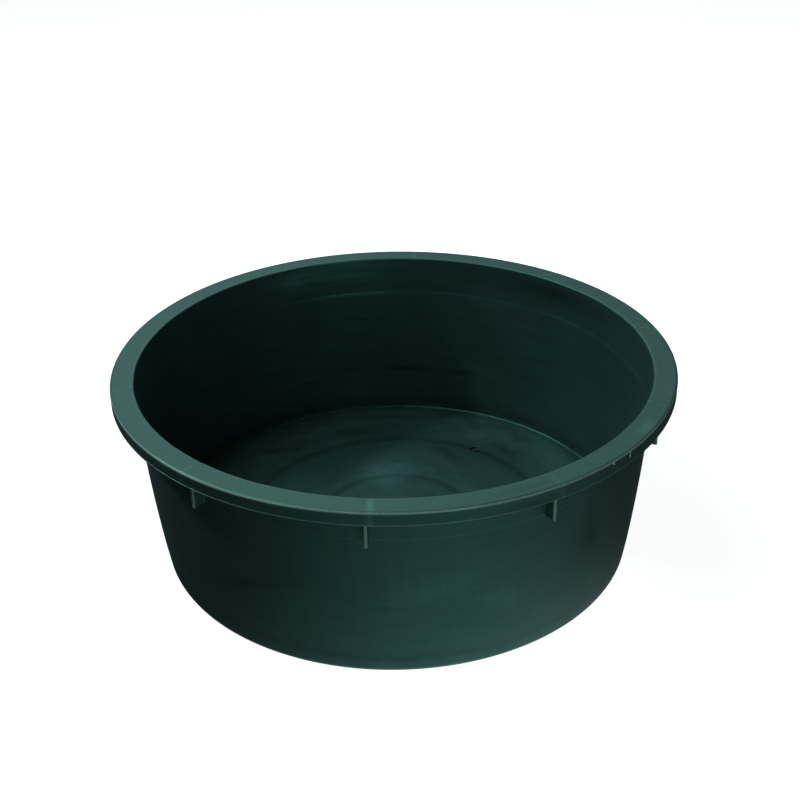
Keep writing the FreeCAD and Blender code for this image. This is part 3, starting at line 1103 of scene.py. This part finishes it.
@dataclass
class ShoulderBand(TurnedZone):
    """Wider band of wall above the shoulder, with the rounded edge of the mouth."""

    node: str = "shoulder_band"
    bead_step: float = 0.5 * MM
    bead_heights: Pair = (4.4 * MM, 2.4 * MM)
    groove: float = 0.3 * MM
    groove_height: float = 1.4 * MM
    groove_width: float = 0.6 * MM

    def inner_face(self, top: tuple[float, float], foot: tuple[float, float]) -> np.ndarray:
        """Draw the inner face down to the side wall: straight flare, soft narrowing bead and fine groove.

        Args:
            top: (radius, height) just under the mouth's round.
            foot: (radius, height) of the side wall's inner top.

        Returns:
            Rows of (radius, height) without the foot.
        """
        ends = foot[1] + np.array(self.bead_heights)
        heights = np.concatenate([np.linspace(top[1], ends[0], 26), np.linspace(ends[0], foot[1], 25)[1:-1]])
        slope = (top[0] - foot[0] - self.bead_step) / (top[1] - foot[1])
        flare = top[0] + (heights - top[1]) * slope
        narrowing = self.bead_step * fade(heights, *ends)
        middle = foot[1] + self.groove_height
        dip = self.groove * np.exp(-(((heights - middle) / self.groove_width) ** 2))
        return np.stack([flare - narrowing + dip, heights], axis=1)

    def section(self) -> np.ndarray:
        """Shoulder, outer face, joint with the flange, mouth and inner face."""
        sizes = self.sizes
        inner_foot = (sizes.wall_top - sizes.wall, sizes.band_bottom)
        mouth = (sizes.mouth, sizes.rim_top)
        below_mouth = (sizes.mouth - sizes.mouth_round, sizes.rim_top - sizes.mouth_round)
        outside = outline(
            (inner_foot, 1),
            ((sizes.wall_top, sizes.band_bottom), 4),
            ((sizes.band_foot, sizes.shoulder), 20),
            ((sizes.band_top, sizes.flange_bottom), 1),
            ((sizes.band_top, sizes.rim_top), 2),
            (mouth, 10, sizes.mouth_round),
            end=below_mouth,
        )
        return np.concatenate([outside, self.inner_face(below_mouth, inner_foot)])


@dataclass
class RimFlange(TurnedZone):
    """Flat top of the rim."""

    node: str = "rim_flange"

    def section(self) -> np.ndarray:
        """Underside, joint with the skirt, top, and joint with the band."""
        sizes = self.sizes
        return outline(
            ((sizes.band_top, sizes.flange_bottom), 8),
            ((sizes.skirt_inside, sizes.flange_bottom), 1),
            ((sizes.skirt_inside, sizes.rim_top), 14),
            ((sizes.band_top, sizes.rim_top), 1),
        )


@dataclass
class RimSkirt(TurnedZone):
    """Downturned skirt, rounded over at the top and along its lower edge."""

    node: str = "rim_skirt"
    bead: float = 0.45 * MM
    bead_height: float = 1.7 * MM
    bead_round: float = 0.7 * MM

    def section(self) -> np.ndarray:
        """Lower edge, its bead, outer face, rounded top and inner face."""
        sizes = self.sizes
        radius, bottom, top = sizes.rim_radius, sizes.skirt_bottom, sizes.rim_top
        return outline(
            ((sizes.skirt_inside, bottom), 3),
            ((radius - sizes.lip_round, bottom), 7, sizes.lip_round),
            ((radius, bottom + 0.6 * self.bead_height), 6, self.bead_round),
            ((radius - self.bead, bottom + self.bead_height), 12),
            ((radius, top - sizes.rim_edge_round), 12, sizes.rim_edge_round),
            ((radius - sizes.rim_edge_round, top), 2),
            ((sizes.skirt_inside, top), 1),
            ((sizes.skirt_inside, sizes.flange_bottom), 8),
        )


@dataclass
class Gusset:
    """One stiffening gusset under the rim, with rounded free edges and a small flare at the wall."""

    sizes: TubSizes
    faults: MouldingField
    number: int
    edge_round: float = 0.6 * MM
    root_flare: float = 0.9 * MM
    bury: float = 0.4 * MM
    highlight_reach: float = 1.6 * MM
    rows: int = 34
    round_points: int = 6

    def outer_radius(self, heights: np.ndarray) -> np.ndarray:
        """Radius of the outer edge: set back below the skirt, and out to its inner side above the lip.

        Args:
            heights: heights over the ground.

        Returns:
            The radius at each height.
        """
        shelf = self.sizes.skirt_bottom + self.sizes.gusset_overlap
        reach = self.sizes.gusset_setback + self.bury
        return self.sizes.gusset_edge + reach * fade(heights, shelf - 0.2 * MM, shelf + 1.6 * MM)

    def loop(self, radius_in: float, radius_out: float, half: float, shrink: float) -> np.ndarray:
        """Draw one level slice of the gusset as an open loop from root to root.

        Each side leaves the wall on a soft flare, runs straight out, and turns the outer corner on a
        quarter-round.

        Args:
            radius_in: radius of the wall's outer face here.
            radius_out: radius of the outer edge here.
            half: half the gusset's thickness here.
            shrink: how far the slice is drawn in, where the lower edge rounds over.

        Returns:
            Rows of (radius, sideways) places.
        """
        turn = np.linspace(0.0, math.pi / 2, self.round_points)
        side, edge = half - shrink, radius_out - shrink
        flare_out = radius_in - self.bury + (self.root_flare + self.bury) * np.sin(turn)
        flare_side = side + self.root_flare * (1.0 - np.sin(turn)) ** 2
        flare = np.stack([flare_out, flare_side], axis=1)
        straight = np.linspace(flare_out[-1], edge - self.edge_round, 8)[1:-1]
        run = np.stack([straight, np.full_like(straight, side)], axis=1)
        corner = np.stack([
            edge - self.edge_round + self.edge_round * np.sin(turn),
            side - self.edge_round + self.edge_round * np.cos(turn),
        ], axis=1)
        one_side = np.concatenate([flare, run, corner])
        other = one_side[::-1] * np.array([1.0, -1.0])
        return np.concatenate([one_side, other])

    def build(self, finish: bpy.types.Material) -> bpy.types.Object:
        """Stack the level slices, close both ends, and turn the gusset to its place.

        Args:
            finish: the material that it wears.

        Returns:
            The finished piece.
        """
        sizes = self.sizes
        turn = np.linspace(0.0, math.pi / 2, self.round_points)
        round_heights = sizes.shoulder + self.edge_round * (1.0 - np.cos(turn))
        shrinks = np.concatenate([self.edge_round * (1.0 - np.sin(turn)), np.zeros(self.rows)])
        upper = np.linspace(round_heights[-1], sizes.flange_bottom + self.bury, self.rows + 1)[1:]
        heights = np.concatenate([round_heights, upper])
        inner = sizes.band_foot + (heights - sizes.shoulder) * sizes.band_flare
        near_flange = np.clip((heights - sizes.flange_bottom + self.root_flare) / self.root_flare, 0.0, 1.0)
        halves = sizes.gusset_thickness / 2 + self.root_flare * 0.6 * near_flange**3
        outer = self.outer_radius(heights)
        loops = np.array([self.loop(*slice_) for slice_ in zip(inner, outer, halves, shrinks)])
        azimuth = sizes.gusset_azimuths()[self.number]
        along, across = loops[..., 0], loops[..., 1]
        points = np.stack(np.broadcast_arrays(
            along * math.cos(azimuth) - across * math.sin(azimuth),
            along * math.sin(azimuth) + across * math.cos(azimuth),
            heights[:, None],
        ), axis=-1)
        rows, columns = points.shape[:2]
        sides = grid_faces(rows, columns, False, True)[:, ::-1]
        half = columns // 2
        step = np.arange(half - 1)
        cap = np.stack([step, step + 1, columns - 2 - step, columns - 1 - step], axis=1)
        faces = [sides, cap, (rows - 1) * columns + cap[:, ::-1]]
        name = f"gusset_{self.number + 1:02d}"
        flat = points.reshape(-1, 3)
        piece = mesh_object(f"{name}_skin", self.faults.moved(flat), faces)
        # Painted highlight: the gusset's outer edge painted pale.
        from_edge = self.outer_radius(flat[:, 2]) - np.hypot(flat[:, 0], flat[:, 1])
        add_values(piece, "rub_and_highlight", 0.6 * np.exp(-((from_edge / self.highlight_reach) ** 2)))
        return dress(piece, finish, name)


@dataclass
class MouldMark:
    """A small round mark of the mould, standing proud of the surface it is on."""

    name: str
    centre: Vector
    normal: Vector
    section: np.ndarray
    stretch: float = 1.0
    columns: int = 48

    def build(self, finish: bpy.types.Material) -> bpy.types.Object:
        """Turn the mark's section about its own normal and set it in place.

        Args:
            finish: the material that it wears.

        Returns:
            The finished piece.
        """
        level, faces = turned(self.section, np.arange(self.columns) * FULL_TURN / self.columns, self.stretch)
        turn = np.array(self.normal.to_track_quat("Z", "Y").to_matrix())
        points = level @ turn.T + np.array(self.centre)
        piece = mesh_object(self.name, points, faces)
        # Painted highlight: the whole mark is painted pale.
        add_values(piece, "rub_and_highlight", np.ones(len(points)))
        return dress(piece, finish, None)


def dome(radius: float, height: float, bury: float) -> np.ndarray:
    """Draw a low dome in section: an elliptic quarter from its rim to its crown, over a flat buried base.

    Args:
        radius: radius of its rim.
        height: height of its crown.
        bury: how deep its base lies.

    Returns:
        Rows of (radius, height).
    """
    turn = np.linspace(0.0, math.pi / 2, 8)
    cap = np.stack([radius * np.cos(turn), height * np.sin(turn)], axis=1)
    return np.concatenate([[(0.0, -bury), (radius, -bury)], cap])


@dataclass
class MortarTub:
    """The whole tub: its ring zones, its gussets and its small mould marks."""

    sizes: TubSizes = field(default_factory=TubSizes)
    finish: MouldedPolyethylene = field(default_factory=MouldedPolyethylene)
    nick_azimuth: float = math.radians(-36.8)
    nick_drop: float = 5.2 * MM
    pip_azimuth: float = math.radians(-41.7)

    def zones(self, faults: MouldingField) -> list[TurnedZone]:
        """List the ring zones, from the floor's centre out to the skirt.

        Args:
            faults: the moulding's faults, which move every zone.

        Returns:
            The zones, not yet built.
        """
        sizes = self.sizes
        return [
            FloorCentre(sizes, faults),
            FloorZone(sizes, faults, "floor_middle", inside=sizes.inner_step, outside=sizes.outer_step),
            FloorZone(sizes, faults, "floor_outer", inside=sizes.outer_step, outside=sizes.floor_outside),
            FootRing(sizes, faults),
            HeelRing(sizes, faults),
            SideWall(sizes, faults),
            ShoulderBand(sizes, faults),
            RimFlange(sizes, faults),
            RimSkirt(sizes, faults),
        ]

    def marks(self, faults: MouldingField) -> list[MouldMark]:
        """List the small marks: a nick and a pip on the rim's outer face.

        Args:
            faults: the moulding's faults, which move the rim that they stand on.

        Returns:
            The marks, not yet built.
        """
        sizes = self.sizes

        def at(azimuth: float, radius: float, height: float) -> Vector:
            drawn = np.array([radius * math.cos(azimuth), radius * math.sin(azimuth), height])
            return Vector(faults.moved(drawn))

        outward = Vector((math.cos(self.nick_azimuth), math.sin(self.nick_azimuth), 0.0))
        pip_out = Vector((math.cos(self.pip_azimuth), math.sin(self.pip_azimuth), 0.5)).normalized()
        return [
            MouldMark(
                "skirt_nick",
                at(self.nick_azimuth, sizes.rim_radius, sizes.rim_top - self.nick_drop),
                outward,
                dome(1.0 * MM, 0.8 * MM, 0.4 * MM),
                stretch=4.0,
            ),
            MouldMark(
                "rim_pip",
                at(self.pip_azimuth, sizes.rim_radius - 0.1 * MM, sizes.rim_top - sizes.rim_edge_round),
                pip_out,
                dome(1.7 * MM, 0.9 * MM, 0.8 * MM),
            ),
        ]

    def build(self) -> list[bpy.types.Object]:
        """Build every piece of the tub.

        Returns:
            The pieces, in the order they were made.
        """
        faults = MouldingField(self.sizes)
        finish = self.finish.build()
        pieces = [zone.build(finish) for zone in self.zones(faults)]
        for number in range(self.sizes.gusset_count):
            pieces.append(Gusset(self.sizes, faults, number).build(finish))
        pieces += [mark.build(finish) for mark in self.marks(faults)]
        return pieces


# ---------------------------------------------------------------- studio


def direction(azimuth: float, elevation: float) -> Vector:
    """Unit vector towards an azimuth, clockwise from the front, and an elevation, both in degrees."""
    turn, lift = math.radians(azimuth), math.radians(elevation)
    return Vector((math.sin(turn) * math.cos(lift), -math.cos(turn) * math.cos(lift), math.sin(lift)))


@dataclass(frozen=True)
class SoftBox:
    """A square soft light: where it hangs about the tub, how big it is and how bright."""

    name: str
    azimuth: float
    elevation: float
    side: float
    watts: float
    distance: float = 2.4
    colour: str = "#dcfffc"

    def build(self, target: Vector) -> bpy.types.Object:
        """Hang the light and aim it.

        Args:
            target: the point that it faces.

        Returns:
            The light object.
        """
        light = bpy.data.lights.new(self.name, "AREA")
        light.shape = "SQUARE"
        light.size = self.side
        light.energy = self.watts
        light.color = linear(self.colour)[:3]
        away = direction(self.azimuth, self.elevation)
        lamp = bpy.data.objects.new(self.name, light)
        lamp.location = target + away * self.distance
        lamp.rotation_euler = away.to_track_quat("Z", "Y").to_euler()
        bpy.context.scene.collection.objects.link(lamp)
        return lamp


@dataclass(frozen=True)
class PaperGlow:
    """Light that the brightly lit paper throws back up round the tub, stronger on some sides."""

    name: str = "paper_glow"
    colour: str = "#dcfffc"
    inner: float = 250 * MM
    outer: float = 1300 * MM
    near_reach: float = 60 * MM
    near_gain: float = 1.6
    sides: tuple[tuple[float, float], ...] = (
        (-180.0, 0.4), (-150.0, 0.16), (-115.0, 0.06), (-60.0, 0.01), (-30.0, 0.03), (0.0, 0.29),
        (25.0, 0.5), (45.0, 0.34), (70.0, 0.05), (95.0, 0.03), (140.0, 0.08), (180.0, 0.4),
    )
    softening: tuple[int, ...] = (-12, 0, 12)

    def strengths(self, points: np.ndarray) -> np.ndarray:
        """Brightness by side, eased from side to side, times a rise near the tub and a fade outward.

        Args:
            points: (n, 3) places on the paper.

        Returns:
            The emission at each place.
        """
        radii = np.hypot(points[:, 0], points[:, 1])
        turn = np.degrees(np.arctan2(points[:, 0], -points[:, 1]))
        near = 1.0 + self.near_gain * np.exp(-(radii - self.inner) / self.near_reach)
        far = 1.0 - fade(radii, 0.55 * self.outer, self.outer)
        stated = np.array(self.sides).T
        shifted = [(turn + shift + 180.0) % 360.0 - 180.0 for shift in self.softening]
        soft = sum(np.interp(place, *stated) for place in shifted) / len(shifted)
        return soft * near * far

    def build(self, height: float = 2 * MM) -> bpy.types.Object:
        """Lay the glowing ring just over the floor, hidden from the camera.

        Args:
            height: how far over the floor it lies.

        Returns:
            The ring object.
        """
        turns = np.radians(np.linspace(0.0, 360.0, 121)[:-1])
        radii = self.inner * (self.outer / self.inner) ** np.linspace(0.0, 1.0, 25)
        far, turn = np.meshgrid(radii, turns)
        level = np.broadcast_arrays(far * np.cos(turn), far * np.sin(turn), height)
        points = np.stack(level, axis=-1).reshape(-1, 3)
        ring = mesh_object(self.name, points, [grid_faces(len(turns), len(radii), True, False)])
        add_values(ring, "glow", self.strengths(points))
        material, tree = new_material("lit paper")
        nodes = Nodes(tree)
        shade = {"Color": linear(self.colour), "Strength": nodes.stored("glow")}
        nodes.surface(add_node(tree, "ShaderNodeEmission", shade))
        ring.data.materials.append(material)
        ring.visible_camera = False
        ring.visible_shadow = False
        return ring


@dataclass
class Studio:
    """Pale floor, soft lights and the camera."""

    floor_side: float = 24.0
    wall_drop: float = 0.5
    wall_height: float = 9.0
    camera_azimuth: float = 5.66
    camera_elevation: float = 26.97
    camera_distance: float = 1.5896
    lens: float = 59.63
    film: float = 36.0
    aim_aside: float = 0.2344
    aim_down: float = 1.8353
    roll: float = 1.0853
    ambient: float = 0.015
    lights: tuple[SoftBox, ...] = (
        SoftBox("high_left_back", -125.7, 64.0, 1.25, 12.2),
        SoftBox("high_left", -65.7, 64.0, 1.25, 9.6),
        SoftBox("front_right", 24.3, 12.0, 1.25, 9.4),
        SoftBox("back_left", -154.0, 37.0, 1.25, 5.6),
        SoftBox("back", 174.3, 38.0, 1.25, 4.8),
        SoftBox("key_left", -98.2, 42.1, 0.15, 16.0, 2.5),
    )

    def add_floor(self) -> bpy.types.Object:
        """Lay the floor under the tub and stand a round pale wall far behind it.

        Returns:
            The floor object.
        """
        half = self.floor_side / 2
        corners = np.array([(-half, -half, 0.0), (half, -half, 0.0), (half, half, 0.0), (-half, half, 0.0)])
        floor = mesh_object("studio_floor", corners, [np.array([[0, 1, 2, 3]])])
        floor.data.materials.append(MattePaper().build())
        turns = np.radians(np.arange(0.0, 360.0, 3.0))
        foot = np.full(len(turns), -self.wall_drop)
        low = np.stack([half * np.cos(turns), half * np.sin(turns), foot], axis=1)
        high = low + (0.0, 0.0, self.wall_height)
        wall_faces = grid_faces(2, len(turns), False, True)[:, ::-1]
        wall = mesh_object("studio_wall", np.concatenate([low, high]), [wall_faces])
        wall.data.materials.append(floor.data.materials[0])
        wall.visible_shadow = False
        for paper in (floor, wall):
            paper.visible_diffuse = False
            paper.visible_glossy = False
        return floor

    def add_world(self) -> None:
        """Fill the studio with a faint even light."""
        world = bpy.data.worlds.new("studio_air")
        world.use_nodes = True
        background = world.node_tree.nodes["Background"]
        background.inputs["Color"].default_value = (1.0, 1.0, 1.0, 1.0)
        background.inputs["Strength"].default_value = self.ambient
        bpy.context.scene.world = world

    def add_camera(self, rim_centre: Vector) -> bpy.types.Object:
        """Place the camera round the tub, then turn it from the rim's centre by its small aim offsets.

        Args:
            rim_centre: the point that distance and angles are measured from.

        Returns:
            The camera object.
        """
        camera = bpy.data.objects.new("camera", bpy.data.cameras.new("camera"))
        azimuth, elevation = math.radians(self.camera_azimuth), math.radians(self.camera_elevation)
        away = direction(self.camera_azimuth, self.camera_elevation)
        turns = (
            Matrix.Rotation(azimuth, 4, "Z"),
            Matrix.Rotation(math.pi / 2 - elevation, 4, "X"),
            Matrix.Rotation(-math.radians(self.aim_aside), 4, "Y"),
            Matrix.Rotation(-math.radians(self.aim_down), 4, "X"),
            Matrix.Rotation(-math.radians(self.roll), 4, "Z"),
        )
        turned = Matrix.Identity(4)
        for turn in turns:
            turned = turned @ turn
        camera.matrix_world = Matrix.Translation(rim_centre + away * self.camera_distance) @ turned
        camera.data.sensor_width = self.film
        camera.data.lens = self.lens
        camera.data.clip_start, camera.data.clip_end = 0.05, 100.0
        bpy.context.scene.collection.objects.link(camera)
        bpy.context.scene.camera = camera
        return camera

    def build(self, sizes: TubSizes) -> None:
        """Set up the whole studio.

        Args:
            sizes: the tub's sizes, which the camera and the lights are aimed by.
        """
        self.add_floor()
        self.add_world()
        self.add_camera(Vector((0.0, 0.0, sizes.rim_top)))
        for light in self.lights:
            light.build(Vector((0.0, 0.0, sizes.rim_top / 2)))
        PaperGlow().build()
        bpy.context.scene.view_settings.view_transform = "Standard"


def main() -> None:
    """Build the studio and the tub in order, and report each piece."""
    logging.basicConfig(level=logging.INFO, format="%(name)s: %(message)s")
    tub = MortarTub()
    Studio().build(tub.sizes)
    pieces = tub.build()
    log.info("%d pieces, %d faces", len(pieces), sum(len(piece.data.polygons) for piece in pieces))


if __name__ == "__main__":
    main()
